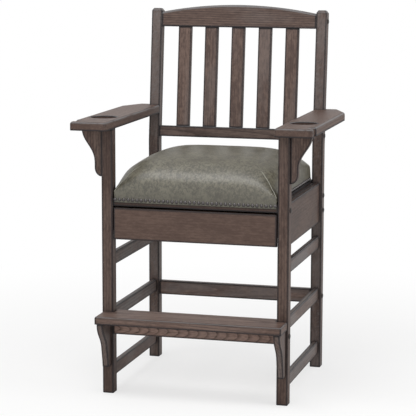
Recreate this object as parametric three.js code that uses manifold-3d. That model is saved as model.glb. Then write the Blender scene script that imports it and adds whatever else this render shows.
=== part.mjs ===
// A bar-height wooden armchair for watching a game: cup rests and cue notches in the arms,
// a footrest, a drawer under the seat and a crowned leather seat. Millimetres, +Z up.
// X runs across the chair, -Y is its front. The origin is the middle of its footprint.
import * as THREE from 'three';
import { mergeVertices } from 'three/addons/utils/BufferGeometryUtils.js';
import Module from 'manifold-3d';

const wasm = await Module();
wasm.setup();

// Driving dimensions of the whole chair
const baseWidth = 632;            // over the outer faces of the legs
const baseDepth = 567;            // front of the front legs to back of the rear legs
const legSection = 37.5;          // square section of every leg
const postBendHeight = 790;       // where the rear posts start to lean back
const rakedPostLength = 469.3;    // from the bend to the top, measured along the post
const postRakeDegrees = 5.7;      // lean of that stretch
const postCapDrop = 9;            // height of the bevel round a post's top
const postCapInset = 6.5;         // width of that bevel
const legEase = 2;                // eased long edges of legs and posts
const footBevel = 1.5;            // bevel round the bottom of each leg

// Clearances
const fitGap = 0.3;               // between two pieces that meet
const cutOverrun = 5;             // how far every cutting solid runs past what it cuts

// Arms
const armTop = 915.7;
const armThickness = 28.4;
const armWidth = 123.5;
const armOverhang = 67;           // in front of the front legs
const armRearRun = 575;           // from the leg fronts to the arm's rear end
const armClipWidth = 43;          // the clipped rear outer corner, across
const armClipLength = 97;         // and along the arm
const armEdgeRadius = 8;
const armCornerRadius = 9.5;
const cupRadius = 44;
const cupDepth = 20;
const cupSetback = 103;           // cup centre behind the leg fronts
const cupRimBevel = 1.5;
const cueRadius = 19;
const cueSetback = -21;           // cue notch centre, just ahead of the leg fronts
const armTenonSide = 20;
const armTenonLength = 12;

// Brackets under the arms
const armBracketReach = 70;
const armBracketHeight = 158;
const armBracketThickness = 20;
const armBracketWaist = 26;       // reach of its lower, straight stretch
const armBracketSweep = 110;      // height of the S-curve
const armBracketFoot = 31;        // height of the rounded bottom

// Rails and stretchers
const sideInset = 10;             // side boards behind the legs' outer faces
const sideThickness = 17.5;
const panelBottom = 520.5;
const panelTop = 659.7;
const stretcherBottoms = { lower: 51, middle: 242.5, upper: 428.5 };
const stretcherHeight = 42.7;
const boardEase = 1.5;            // eased long edges of boards
const tenonLength = 12;
const tenonThickness = 9;
const tenonShoulder = 6;          // how much lower a tenon is than its board, each side
const panelTenonBottom = 540;
const panelTenonTop = 625;
const crossRailInset = 7;         // rear cross rails behind the rear legs' front faces
const crossRailThickness = 22;
const rearStretcherBottom = 231;
const rearStretcherTop = 280.5;
const frontRailBottom = 633.5;
const frontRailSetback = 6.3;
const frontRailThickness = 22;
const frontStretcherBottom = 203.5;
const frontStretcherSetback = 0.6;
const frontStretcherThickness = 24;

// Back
const lowerRailBottom = 16;       // above the bend, measured along the post
const lowerRailHeight = 38;
const backRailSetback = 1.5;      // behind the posts' front faces
const backRailThickness = 24;
const crestDrop = 63.8;           // its ends' bottom below the posts' tops, along the post
const crestEndHeight = 51.5;
const crestRise = 27;             // the arch of its top over its whole length
const crestEdgeRadius = 8;
const crestArcSteps = 20;
const slatCount = 5;
const slatWidth = 47;
const slatThickness = 18.5;
const slatPitch = 96.8;
const slatSetback = 3.5;          // behind the rails' front faces
const slatTenonWidth = 34;
const slatTenonThickness = 9;

// Footrest
const footrestTop = 279;
const footrestThickness = 26;
const footrestDepth = 134;        // front to back
const footrestRearReach = 44;     // its rear edge behind the leg fronts
const footrestEndInset = 3;       // ends behind the legs' outer faces
const footrestEdgeRadius = 5;
const footBracketThickness = 21.5;
const footBracketReach = 86;
const footBracketHeight = 156;
const footBracketWaist = 38;
const footBracketSweep = 95;
const footBracketToe = 27;        // reach at its bottom end
const footBracketBulge = 4;       // slant of the S-curve at its waist

// Connecting bolts, each under a wooden button
const buttonRadius = 8.7;
const buttonRise = 4;
const buttonRim = 1.2;
const boltRadius = 3;
const boltReach = 40;             // into the rail that it holds
const apronBoltPitch = 52;
const apronBoltDrop = 2;          // below the middle of the apron
const frontRailBoltRise = 8.5;    // above the rail's bottom
const boltSides = 12;

// Drawer
const drawerFrontSetback = 0.8;
const drawerFrontBottom = 523.1;
const drawerFrontSideGap = 3.4;
const drawerFrontTopGap = 5.2;
const drawerFrontThickness = 18;
const drawerFrontEase = 2.5;
const drawerDepth = 400;          // behind the front
const drawerSideHeight = 80;
const drawerSideRise = 9;         // bottom of the sides above the bottom of the front
const drawerWall = 12;
const drawerBottomThickness = 5;
const drawerBottomRise = 8;       // above the bottom of the sides
const drawerGrooveDepth = 5;
const ledgerThickness = 25;
const ledgerBottom = 548;
const slideLength = 400;
const slideHeight = 42;
const slideWidth = 12;
const slideWall = 1.5;
const slideSetback = 24;

// Seat
const seatBoardThickness = 8;
const seatSideGap = 2.5;          // seat to the inner faces of the legs
const seatRear = 529;             // rear end of the cushion behind the leg fronts
const seatFront = 2.6;            // front of the leather behind the leg fronts
const skirtBottom = 646.5;
const skirtThickness = 3.4;
const boxingHeight = 11.7;         // upright leather above the seat board, at the front
const boxingRearRise = 38;        // how much higher it ends along the sides and the rear
const boxingClimbLength = 97;     // how far behind the front it has climbed to that
const crownRise = 118;            // from the front boxing's top to the middle of the seat
const cushionCornerRadius = 6;
const cushionUnderBevel = 1.5;
// How the leather falls from the middle to each edge: how flat the middle stays, and how
// gently the edge rolls over
const leatherRolls = {
  front: { flatnessShare: 2, softnessShare: 0.38 },
  side: { flatnessShare: 4.6, softnessShare: 0.88 },
  rear: { flatnessShare: 2.3, softnessShare: 0.21 },
};

// Nailhead trim
const nailRadius = 5.7;
const nailRise = 2.8;
const nailPitch = 14.9;
const nailFrontHeight = 656.2;
const nailSideHeight = 676.5;
const nailSides = 8;
const nailStripWidth = 3;
const nailStripThickness = 0.8;
const nailSideStart = 52;
const nailSideEnd = 510;

const halfBase = baseWidth / 2;
const legInner = halfBase - legSection;
const railEnd = legInner - fitGap;
const rearLegFront = baseDepth - legSection;
const rake = THREE.MathUtils.degToRad(postRakeDegrees);
const crestBottom = rakedPostLength - crestDrop;
const sideOuter = halfBase - sideInset;
const sideInner = sideOuter - sideThickness;
const armBottom = armTop - armThickness;
const seatBoardTop = panelTop + fitGap + seatBoardThickness;
const seatHalf = legInner - seatSideGap;
const drawerFrontTop = frontRailBottom - drawerFrontTopGap;
const footrestBottom = footrestTop - footrestThickness;
const footrestFront = footrestRearReach - footrestDepth;

const woodLook = { color: 0x5c4f48, roughness: 0.55, metalness: 0 };
const innerWoodLook = { color: 0x8a7460, roughness: 0.75, metalness: 0 };
const buttonLook = { color: 0x3d3531, roughness: 0.5, metalness: 0 };
const leatherLook = { color: 0x6f6c60, roughness: 0.45, metalness: 0 };
const nailLook = { color: 0x5a5754, roughness: 0.35, metalness: 0.9 };
const steelLook = { color: 0x9a9c9e, roughness: 0.4, metalness: 0.9 };

const chair = new THREE.Group();
const back = new THREE.Group();
back.position.set(0, rearLegFront, postBendHeight);
back.rotation.x = -rake;
chair.add(back);

const sides = { left: -1, right: 1 };

function addPiece(parent, name, geometry, look) {
  const mesh = new THREE.Mesh(geometry, new THREE.MeshStandardMaterial(look));
  mesh.name = name;
  parent.add(mesh);
}

// Turns a closed geometry into a solid that can be joined and cut.
function toSolid(geometry) {
  const bare = geometry.clone();
  bare.deleteAttribute('normal');
  bare.deleteAttribute('uv');
  const merged = mergeVertices(bare);
  const triangles = [];
  for (let first = 0; first < merged.index.count; first += 3) {
    const corners = [0, 1, 2].map((step) => merged.index.getX(first + step));
    if (new Set(corners).size === 3) {
      triangles.push(...corners);
    }
  }
  return new wasm.Manifold(new wasm.Mesh({
    numProp: 3,
    vertProperties: new Float32Array(merged.attributes.position.array),
    triVerts: new Uint32Array(triangles),
  }));
}

function toGeometry(solid) {
  const mesh = solid.getMesh();
  const geometry = new THREE.BufferGeometry();
  geometry.setAttribute('position', new THREE.BufferAttribute(mesh.vertProperties, 3));
  geometry.setIndex(new THREE.BufferAttribute(mesh.triVerts, 1));
  return geometry;
}

function join(geometry, additions) {
  return toGeometry(additions.reduce((solid, one) => solid.add(toSolid(one)), toSolid(geometry)));
}

function cut(geometry, cutters) {
  return toGeometry(cutters.reduce((solid, one) => solid.subtract(toSolid(one)), toSolid(geometry)));
}

function common(geometry, other) {
  return toGeometry(toSolid(geometry).intersect(toSolid(other)));
}

function box(x, y, z) {
  const geometry = new THREE.BoxGeometry(x[1] - x[0], y[1] - y[0], z[1] - z[0]);
  geometry.translate((x[0] + x[1]) / 2, (y[0] + y[1]) / 2, (z[0] + z[1]) / 2);
  return geometry;
}

// A rectangle with its corners cut off by ease.
function easedRectangle(across, up, ease) {
  const shape = new THREE.Shape();
  shape.moveTo(across[0] + ease, up[0]);
  shape.lineTo(across[1] - ease, up[0]);
  shape.lineTo(across[1], up[0] + ease);
  shape.lineTo(across[1], up[1] - ease);
  shape.lineTo(across[1] - ease, up[1]);
  shape.lineTo(across[0] + ease, up[1]);
  shape.lineTo(across[0], up[1] - ease);
  shape.lineTo(across[0], up[0] + ease);
  shape.closePath();
  return shape;
}

// Extrudes an outline over the span [from, to]. The edge, if any, rounds or bevels both ends.
function extrude(shape, span, curveSegments, edge) {
  const thickness = edge ? edge.thickness : 0;
  const size = edge ? edge.size : 0;
  const geometry = new THREE.ExtrudeGeometry(shape, {
    depth: span[1] - span[0] - 2 * thickness,
    curveSegments,
    bevelEnabled: Boolean(edge),
    bevelThickness: thickness,
    bevelSize: size,
    bevelOffset: -size,
    bevelSegments: edge ? edge.segments : 0,
  });
  geometry.translate(0, 0, span[0] + thickness);
  return geometry;
}

const unitX = new THREE.Vector3(1, 0, 0);
const unitY = new THREE.Vector3(0, 1, 0);
const unitZ = new THREE.Vector3(0, 0, 1);
const alongX = new THREE.Matrix4().makeBasis(unitY, unitZ, unitX);
const alongY = new THREE.Matrix4().makeBasis(unitX, unitZ, unitY.clone().negate());

function prismZ(shape, span, curveSegments, edge) {
  return extrude(shape, span, curveSegments, edge);
}

// The outline is drawn in Y and Z.
function prismX(shape, span, curveSegments, edge) {
  return extrude(shape, span, curveSegments, edge).applyMatrix4(alongX);
}

// The outline is drawn in X and Z.
function prismY(shape, span, curveSegments, edge) {
  return extrude(shape, [-span[1], -span[0]], curveSegments, edge).applyMatrix4(alongY);
}

function boltHole(height, y, from, to) {
  const hole = new THREE.CylinderGeometry(boltRadius + fitGap, boltRadius + fitGap, to - from, boltSides);
  hole.rotateZ(Math.PI / 2);
  hole.translate((from + to) / 2, y, height);
  return hole;
}

// A span [low, high] from the middle line, mirrored for the left side.
function mirrored(side, span) {
  return side > 0 ? span : [-span[1], -span[0]];
}

function grown(span, amount) {
  return [span[0] - amount, span[1] + amount];
}

// Side boards are tenoned into the legs, as one glued frame for each side.
const sideBoards = [
  { name: 'side_panel', up: [panelBottom, panelTop], tenon: [panelTenonBottom, panelTenonTop] },
];
for (const [level, bottom] of Object.entries(stretcherBottoms)) {
  const up = [bottom, bottom + stretcherHeight];
  sideBoards.push({ name: `${level}_side_stretcher`, up, tenon: grown(up, -tenonShoulder) });
}

const boardMiddle = (sideOuter + sideInner) / 2;
const tenonAcross = [boardMiddle - tenonThickness / 2, boardMiddle + tenonThickness / 2];
const boardRun = [legSection + fitGap, rearLegFront - fitGap];

function sideMortises(side, alongLeg) {
  const across = grown(mirrored(side, tenonAcross), fitGap);
  return sideBoards.map((board) => box(across, alongLeg, grown(board.tenon, fitGap)));
}

function addSideBoards(word, side) {
  for (const board of sideBoards) {
    const section = easedRectangle(mirrored(side, [sideInner, sideOuter]), board.up, boardEase);
    const body = prismY(section, boardRun, 1);
    const across = mirrored(side, tenonAcross);
    const tenons = box(across, grown(boardRun, tenonLength), board.tenon);
    addPiece(chair, `${word}_${board.name}`, join(body, [tenons]), woodLook);
  }
}

// Heights of the bolts that hold the cross rails, kept with the rail's own level.
const legMiddle = legSection / 2;
const postMiddle = rearLegFront + legMiddle;
const apronMiddle = (panelBottom + panelTop) / 2 - apronBoltDrop;
const frontBolts = {
  front_rail_bolt: frontRailBottom + frontRailBoltRise,
  front_stretcher_bolt: (frontStretcherBottom + footrestBottom) / 2,
};
const rearBolts = {
  upper_apron_bolt: apronMiddle + apronBoltPitch / 2,
  lower_apron_bolt: apronMiddle - apronBoltPitch / 2,
  rear_stretcher_bolt: (rearStretcherBottom + rearStretcherTop) / 2,
};
const backBolts = {
  crest_bolt: crestBottom + crestEndHeight / 2,
  lower_rail_bolt: lowerRailBottom + lowerRailHeight / 2,
};
const boltSpan = [legInner - boltReach - fitGap, halfBase + cutOverrun];

function boltHoles(side, bolts, y) {
  const [from, to] = mirrored(side, boltSpan);
  return Object.values(bolts).map((height) => boltHole(height, y, from, to));
}

function addFrontLeg(word, side) {
  const across = mirrored(side, [legInner, halfBase]);
  const section = easedRectangle(across, [0, legSection], legEase);
  const edge = { thickness: footBevel, size: footBevel, segments: 1 };
  const top = armBottom - fitGap;
  const body = prismZ(section, [0, top + footBevel], 1, edge);
  const trim = box(grown(across, cutOverrun), [-cutOverrun, legSection + cutOverrun],
    [top, top + footBevel + cutOverrun]);
  const mortises = sideMortises(side, [legSection - tenonLength - fitGap, legSection + cutOverrun]);
  const leg = cut(body, [trim, ...mortises, ...boltHoles(side, frontBolts, legMiddle)]);
  const middle = side * (halfBase - legMiddle);
  const half = armTenonSide / 2;
  const tenon = box([middle - half, middle + half], [legMiddle - half, legMiddle + half],
    [top - armTenonLength, top + armTenonLength]);
  addPiece(chair, `${word}_front_leg`, join(leg, [tenon]), woodLook);
}

// The raked upper stretch of a post, in the frame of the back, grown by a clearance.
function rakedPost(side, clearance) {
  const across = grown(mirrored(side, [legInner, halfBase]), clearance);
  const section = easedRectangle(across, [-clearance, legSection + clearance], legEase);
  return prismZ(section, [0, rakedPostLength], 1);
}

// The upright stretch of a post, from the floor to the bend, grown by a clearance.
function uprightPost(side, clearance) {
  const across = grown(mirrored(side, [legInner, halfBase]), clearance);
  return box(across, grown([rearLegFront, baseDepth], clearance), [0, postBendHeight]);
}

// Wedge that bevels one edge of a post's top. It is drawn outward from the edge at "at".
function capWedge(at, outward) {
  const slopeShare = postCapInset / postCapDrop;
  const shape = new THREE.Shape();
  const corners = [
    [cutOverrun, -postCapDrop - cutOverrun / slopeShare],
    [cutOverrun, cutOverrun],
    [-postCapInset - cutOverrun * slopeShare, cutOverrun],
  ];
  const ordered = outward > 0 ? corners : corners.reverse();
  const point = ([out, up]) => new THREE.Vector2(at + outward * out, rakedPostLength + up);
  shape.setFromPoints(ordered.map(point));
  return shape;
}

function capped(post, side) {
  const across = mirrored(side, [legInner, halfBase]);
  return cut(post, [
    prismY(capWedge(across[0], -1), [-cutOverrun, legSection + cutOverrun], 1),
    prismY(capWedge(across[1], 1), [-cutOverrun, legSection + cutOverrun], 1),
    prismX(capWedge(0, -1), grown(across, cutOverrun), 1),
    prismX(capWedge(legSection, 1), grown(across, cutOverrun), 1),
  ]);
}

function placeInBack(geometry) {
  back.updateMatrix();
  return geometry.applyMatrix4(back.matrix);
}

function addRearPost(word, side) {
  const across = mirrored(side, [legInner, halfBase]);
  const section = easedRectangle(across, [rearLegFront, baseDepth], legEase);
  const edge = { thickness: footBevel, size: footBevel, segments: 1 };
  const lower = prismZ(section, [0, postBendHeight + footBevel], 1, edge);
  const trim = box(grown(across, cutOverrun), [rearLegFront - cutOverrun, baseDepth + cutOverrun],
    [postBendHeight, postBendHeight + footBevel + cutOverrun]);
  const post = join(cut(lower, [trim]), [placeInBack(capped(rakedPost(side, 0), side))]);
  const mortises = sideMortises(side, [rearLegFront - cutOverrun, rearLegFront + tenonLength + fitGap]);
  const upperHoles = boltHoles(side, backBolts, legMiddle).map(placeInBack);
  const holes = boltHoles(side, rearBolts, postMiddle);
  addPiece(chair, `${word}_rear_post`, cut(post, [...mortises, ...holes, ...upperHoles]), woodLook);
}

// A bolt lies along X with its button on the leg's outer face.
function addBolt(parent, name, side, y, height) {
  const profile = [
    new THREE.Vector2(0, -(legSection + boltReach)),
    new THREE.Vector2(boltRadius, -(legSection + boltReach)),
    new THREE.Vector2(boltRadius, fitGap),
    new THREE.Vector2(buttonRadius, fitGap),
    new THREE.Vector2(buttonRadius, fitGap + buttonRim),
  ];
  const dome = buttonRise - buttonRim;
  const domeSteps = 3;
  for (let step = 1; step <= domeSteps; step += 1) {
    const angle = (step / domeSteps) * (Math.PI / 2);
    profile.push(new THREE.Vector2(
      step === domeSteps ? 0 : buttonRadius * Math.cos(angle),
      fitGap + buttonRim + dome * Math.sin(angle),
    ));
  }
  const bolt = new THREE.LatheGeometry(profile, boltSides);
  bolt.rotateZ(-side * (Math.PI / 2));
  bolt.translate(side * halfBase, y, height);
  addPiece(parent, name, bolt, buttonLook);
}

function addBolts(word, side) {
  for (const [name, height] of Object.entries(frontBolts)) {
    addBolt(chair, `${word}_${name}`, side, legMiddle, height);
  }
  for (const [name, height] of Object.entries(rearBolts)) {
    addBolt(chair, `${word}_${name}`, side, postMiddle, height);
  }
  for (const [name, height] of Object.entries(backBolts)) {
    addBolt(back, `${word}_${name}`, side, legMiddle, height);
  }
}

// Cuts the end bores of a cross rail for both sides' bolts.
function bored(geometry, heights, y) {
  const bores = Object.values(sides).flatMap((side) => boltHoles(side, heights, y));
  return cut(geometry, bores);
}

function addCrossRail(name, y, up, bolts, boltY) {
  const rail = prismX(easedRectangle(y, up, boardEase), [-railEnd, railEnd], 1);
  addPiece(chair, name, bored(rail, bolts, boltY), woodLook);
}

function addCrossRails() {
  const rearY = [rearLegFront + crossRailInset, rearLegFront + crossRailInset + crossRailThickness];
  const apronBolts = [rearBolts.upper_apron_bolt, rearBolts.lower_apron_bolt];
  addCrossRail('rear_apron', rearY, [panelBottom, panelTop], apronBolts, postMiddle);
  addCrossRail('rear_stretcher', rearY, [rearStretcherBottom, rearStretcherTop],
    [rearBolts.rear_stretcher_bolt], postMiddle);
  addCrossRail('front_seat_rail', [frontRailSetback, frontRailSetback + frontRailThickness],
    [frontRailBottom, panelTop], [frontBolts.front_rail_bolt], legMiddle);
  addCrossRail('front_stretcher', [frontStretcherSetback, frontStretcherSetback + frontStretcherThickness],
    [frontStretcherBottom, footrestBottom - fitGap], [frontBolts.front_stretcher_bolt], legMiddle);
}

const lowerRailTop = lowerRailBottom + lowerRailHeight;
const backRailY = [backRailSetback, backRailSetback + backRailThickness];
const slatY = [backRailSetback + slatSetback, backRailSetback + slatSetback + slatThickness];
const slatCentres = Array.from({ length: slatCount },
  (_, index) => (index - (slatCount - 1) / 2) * slatPitch);
const slatMiddleY = (slatY[0] + slatY[1]) / 2;
const slatTenonY = [slatMiddleY - slatTenonThickness / 2, slatMiddleY + slatTenonThickness / 2];

function slatMortises(up) {
  return slatCentres.map((x) => box(
    grown([x - slatTenonWidth / 2, x + slatTenonWidth / 2], fitGap), grown(slatTenonY, fitGap), up));
}

function addSlats() {
  const up = [lowerRailTop + fitGap, crestBottom - fitGap];
  slatCentres.forEach((x, index) => {
    const section = easedRectangle([x - slatWidth / 2, x + slatWidth / 2], slatY, legEase);
    const tenons = box([x - slatTenonWidth / 2, x + slatTenonWidth / 2], slatTenonY, grown(up, tenonLength));
    addPiece(back, `back_slat_${index + 1}`, join(prismZ(section, up, 1), [tenons]), woodLook);
  });
}

function addLowerRail() {
  const section = easedRectangle(backRailY, [lowerRailBottom, lowerRailTop], boardEase);
  const rail = prismX(section, [-railEnd, railEnd], 1);
  const mortises = slatMortises([lowerRailTop - tenonLength, lowerRailTop + cutOverrun]);
  const lowerRail = cut(bored(rail, [backBolts.lower_rail_bolt], legMiddle), mortises);
  addPiece(back, 'lower_back_rail', lowerRail, woodLook);
}

// The crest rail has an arched top with rounded edges, and square ends and bottom.
function addCrest() {
  const arcRadius = (railEnd * railEnd + crestRise * crestRise) / (2 * crestRise);
  const topMiddle = crestBottom + crestEndHeight + crestRise;
  const reach = railEnd + crestEdgeRadius;
  const shape = new THREE.Shape();
  shape.moveTo(-reach, crestBottom - crestEdgeRadius);
  shape.lineTo(reach, crestBottom - crestEdgeRadius);
  for (let step = 0; step <= crestArcSteps; step += 1) {
    const x = reach - (2 * reach * step) / crestArcSteps;
    shape.lineTo(x, topMiddle - arcRadius + Math.sqrt(arcRadius * arcRadius - x * x));
  }
  shape.closePath();
  const edge = { thickness: crestEdgeRadius, size: crestEdgeRadius, segments: 3 };
  const blank = prismY(shape, backRailY, 1, edge);
  const square = box([-railEnd, railEnd], grown(backRailY, cutOverrun), [crestBottom, topMiddle + cutOverrun]);
  const mortises = slatMortises([crestBottom - cutOverrun, crestBottom + tenonLength]);
  const crest = cut(bored(common(blank, square), [backBolts.crest_bolt], legMiddle), mortises);
  addPiece(back, 'crest_rail', crest, woodLook);
}

// The arm's plan for the right side: cue notch near the front, clipped rear outer corner.
function armOutline() {
  const outer = legInner + armWidth;
  const front = -armOverhang;
  const shape = new THREE.Shape();
  const cornerY = front + armCornerRadius;
  shape.moveTo(legInner, cornerY);
  shape.absarc(legInner + armCornerRadius, cornerY, armCornerRadius, Math.PI, Math.PI * 3 / 2, false);
  shape.absarc(outer - armCornerRadius, cornerY, armCornerRadius, -Math.PI / 2, 0, false);
  shape.absarc(outer, cueSetback, cueRadius, -Math.PI / 2, -Math.PI * 3 / 2, true);
  shape.lineTo(outer, armRearRun - armClipLength);
  shape.lineTo(outer - armClipWidth, armRearRun);
  shape.lineTo(legInner, armRearRun);
  shape.closePath();
  return shape;
}

function addArm(word, side) {
  const edge = { thickness: armEdgeRadius, size: armEdgeRadius, segments: 3 };
  const outer = legInner + armWidth;
  const middle = legInner + armWidth / 2;
  const blank = prismZ(armOutline(), [armBottom - armEdgeRadius, armTop], 8, edge);
  const under = box([legInner - cutOverrun, outer + cutOverrun],
    [-armOverhang - cutOverrun, armRearRun + cutOverrun], [armBottom - armEdgeRadius - cutOverrun, armBottom]);
  const cup = new THREE.LatheGeometry([
    new THREE.Vector2(0, -cupDepth),
    new THREE.Vector2(cupRadius, -cupDepth),
    new THREE.Vector2(cupRadius, -cupRimBevel),
    new THREE.Vector2(cupRadius + cupRimBevel + cutOverrun, cutOverrun),
    new THREE.Vector2(0, cutOverrun),
  ], 32);
  cup.rotateX(Math.PI / 2);
  cup.translate(middle, cupSetback, armTop);
  const posts = [placeInBack(rakedPost(1, fitGap)), uprightPost(1, fitGap)];
  const legCentre = halfBase - legMiddle;
  const half = armTenonSide / 2 + fitGap;
  const mortise = box([legCentre - half, legCentre + half], [legMiddle - half, legMiddle + half],
    [armBottom - cutOverrun, armBottom + armTenonLength]);
  const arm = cut(blank, [under, cup, ...posts, mortise]);
  if (side < 0) {
    arm.scale(-1, 1, 1);
    arm.index.array.reverse();
  }
  addPiece(chair, `${word}_arm`, arm, woodLook);
}

// S-curved board against a leg's outer face, drawn outward and down from the arm.
function addArmBracket(word, side) {
  const root = halfBase + fitGap;
  const top = armBottom - fitGap;
  const curveEnd = top - armBracketSweep;
  const footTop = top - armBracketHeight + armBracketFoot;
  const bottom = top - armBracketHeight;
  const x = (reach) => side * (root + reach);
  const upperPullShare = 0.41;
  const lowerPullShare = 0.45;
  const footPullShare = 0.6;
  const shape = new THREE.Shape();
  shape.moveTo(x(0), top);
  shape.lineTo(x(armBracketReach), top);
  shape.bezierCurveTo(x(armBracketReach), top - armBracketSweep * upperPullShare,
    x(armBracketWaist), curveEnd + armBracketSweep * lowerPullShare, x(armBracketWaist), curveEnd);
  shape.lineTo(x(armBracketWaist), footTop);
  shape.bezierCurveTo(x(armBracketWaist), footTop - armBracketFoot * footPullShare,
    x(armBracketWaist * footPullShare), bottom, x(0), bottom);
  shape.closePath();
  const half = armBracketThickness / 2;
  const edge = { thickness: boardEase, size: boardEase, segments: 1 };
  const bracket = prismY(shape, [legMiddle - half, legMiddle + half], 10, edge);
  addPiece(chair, `${word}_arm_bracket`, bracket, woodLook);
}

function addFootrest() {
  const end = halfBase - footrestEndInset;
  const notch = legInner - fitGap;
  const shape = new THREE.Shape();
  shape.moveTo(-end, footrestFront);
  shape.lineTo(end, footrestFront);
  shape.lineTo(end, -fitGap);
  shape.lineTo(notch, -fitGap);
  shape.lineTo(notch, footrestRearReach);
  shape.lineTo(-notch, footrestRearReach);
  shape.lineTo(-notch, -fitGap);
  shape.lineTo(-end, -fitGap);
  shape.closePath();
  const edge = { thickness: footrestEdgeRadius, size: footrestEdgeRadius, segments: 3 };
  const blank = prismZ(shape, [footrestBottom - footrestEdgeRadius, footrestTop], 1, edge);
  const under = box(grown([-end, end], cutOverrun), grown([footrestFront, footrestRearReach], cutOverrun),
    [footrestBottom - footrestEdgeRadius - cutOverrun, footrestBottom]);
  addPiece(chair, 'footrest_board', cut(blank, [under]), woodLook);
}

function addFootrestBracket(word, side) {
  const top = footrestBottom - fitGap;
  const curveEnd = top - footBracketSweep;
  const bottom = top - footBracketHeight;
  const y = (reach) => -fitGap - reach;
  const upperPullShare = 0.44;
  const lowerPullShare = 0.42;
  const toePullShare = 0.35;
  const shape = new THREE.Shape();
  shape.moveTo(y(0), top);
  shape.lineTo(y(0), bottom);
  shape.lineTo(y(footBracketToe), bottom);
  shape.bezierCurveTo(y(footBracketToe), bottom + (curveEnd - bottom) * toePullShare,
    y(footBracketWaist - footBracketBulge), curveEnd - (curveEnd - bottom) * toePullShare,
    y(footBracketWaist), curveEnd);
  shape.bezierCurveTo(y(footBracketWaist + footBracketBulge), curveEnd + footBracketSweep * lowerPullShare,
    y(footBracketReach), top - footBracketSweep * upperPullShare, y(footBracketReach), top);
  shape.closePath();
  const middle = side * (halfBase - legMiddle);
  const half = footBracketThickness / 2;
  const edge = { thickness: boardEase, size: boardEase, segments: 1 };
  const bracket = prismX(shape, [middle - half, middle + half], 10, edge);
  addPiece(chair, `${word}_footrest_bracket`, bracket, woodLook);
}

// Drawer: a front, two sides, a back and a bottom let into grooves, on two slides.
const ledgerOuter = sideInner - fitGap;
const ledgerInner = ledgerOuter - ledgerThickness;
const channelOuter = ledgerInner - fitGap;
const channelInner = channelOuter - slideWidth;
const runnerInner = channelInner - 2 * fitGap;
const drawerOuter = runnerInner - fitGap;
const drawerInner = drawerOuter - drawerWall;
const drawerSideBottom = drawerFrontBottom + drawerSideRise;
const drawerSideTop = drawerSideBottom + drawerSideHeight;
const drawerBoxFront = drawerFrontSetback + drawerFrontThickness + fitGap;
const drawerBoxRear = drawerBoxFront + drawerDepth;
const slideMiddle = (drawerSideBottom + drawerSideTop) / 2;
const slideRun = [slideSetback, slideSetback + slideLength];
const floorUp = [drawerSideBottom + drawerBottomRise,
  drawerSideBottom + drawerBottomRise + drawerBottomThickness];
const floorHalf = drawerInner + drawerGrooveDepth;

function addDrawer() {
  const frontHalf = legInner - drawerFrontSideGap;
  const frontUp = [drawerFrontBottom, drawerFrontTop];
  const frontY = [drawerFrontSetback, drawerFrontSetback + drawerFrontThickness];
  const edge = { thickness: drawerFrontEase, size: drawerFrontEase, segments: 2 };
  const outline = new THREE.Shape();
  outline.moveTo(-frontHalf, frontUp[0]);
  outline.lineTo(frontHalf, frontUp[0]);
  outline.lineTo(frontHalf, frontUp[1]);
  outline.lineTo(-frontHalf, frontUp[1]);
  outline.closePath();
  addPiece(chair, 'drawer_front', prismY(outline, frontY, 1, edge), woodLook);

  const groove = (across) => box(across, [drawerBoxFront - cutOverrun, drawerBoxRear + cutOverrun],
    grown(floorUp, fitGap));
  const sideUp = [drawerSideBottom, drawerSideTop];
  for (const [word, side] of Object.entries(sides)) {
    const board = prismY(easedRectangle(mirrored(side, [drawerInner, drawerOuter]), sideUp, boardEase),
      [drawerBoxFront, drawerBoxRear], 1);
    const slot = groove(mirrored(side, [drawerInner - cutOverrun, floorHalf + fitGap]));
    addPiece(chair, `drawer_${word}_side`, cut(board, [slot]), innerWoodLook);
  }
  const backHalf = drawerInner - fitGap;
  const backUp = [floorUp[1] + fitGap, drawerSideTop - boardEase];
  const backY = [drawerBoxRear - drawerWall, drawerBoxRear];
  addPiece(chair, 'drawer_back', prismX(easedRectangle(backY, backUp, boardEase), [-backHalf, backHalf], 1),
    innerWoodLook);
  addPiece(chair, 'drawer_bottom', box([-floorHalf, floorHalf], [drawerBoxFront, drawerBoxRear], floorUp),
    innerWoodLook);
}

function addSlide(word, side) {
  const ledgerUp = [ledgerBottom, panelTop];
  const ledger = easedRectangle(mirrored(side, [ledgerInner, ledgerOuter]), ledgerUp, boardEase);
  addPiece(chair, `${word}_seat_ledger`, prismY(ledger, boardRun, 1), innerWoodLook);

  const low = slideMiddle - slideHeight / 2;
  const high = slideMiddle + slideHeight / 2;
  const channel = new THREE.Shape();
  channel.moveTo(side * channelInner, low);
  channel.lineTo(side * channelOuter, low);
  channel.lineTo(side * channelOuter, high);
  channel.lineTo(side * channelInner, high);
  channel.lineTo(side * channelInner, high - slideWall);
  channel.lineTo(side * (channelOuter - slideWall), high - slideWall);
  channel.lineTo(side * (channelOuter - slideWall), low + slideWall);
  channel.lineTo(side * channelInner, low + slideWall);
  channel.closePath();
  addPiece(chair, `${word}_slide_channel`, prismY(channel, slideRun, 1), steelLook);

  const runnerAcross = mirrored(side, [runnerInner, channelOuter - slideWall - fitGap]);
  const runnerUp = [low + slideWall + fitGap, high - slideWall - fitGap];
  addPiece(chair, `${word}_slide_runner`, box(runnerAcross, slideRun, runnerUp), steelLook);
}

function addSeatBoard() {
  const half = seatHalf - fitGap;
  const y = [frontRailSetback, rearLegFront + crossRailInset + crossRailThickness];
  const section = easedRectangle([-half, half], y, boardEase);
  addPiece(chair, 'seat_board', prismZ(section, [panelTop + fitGap, seatBoardTop], 1), innerWoodLook);
}

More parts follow.
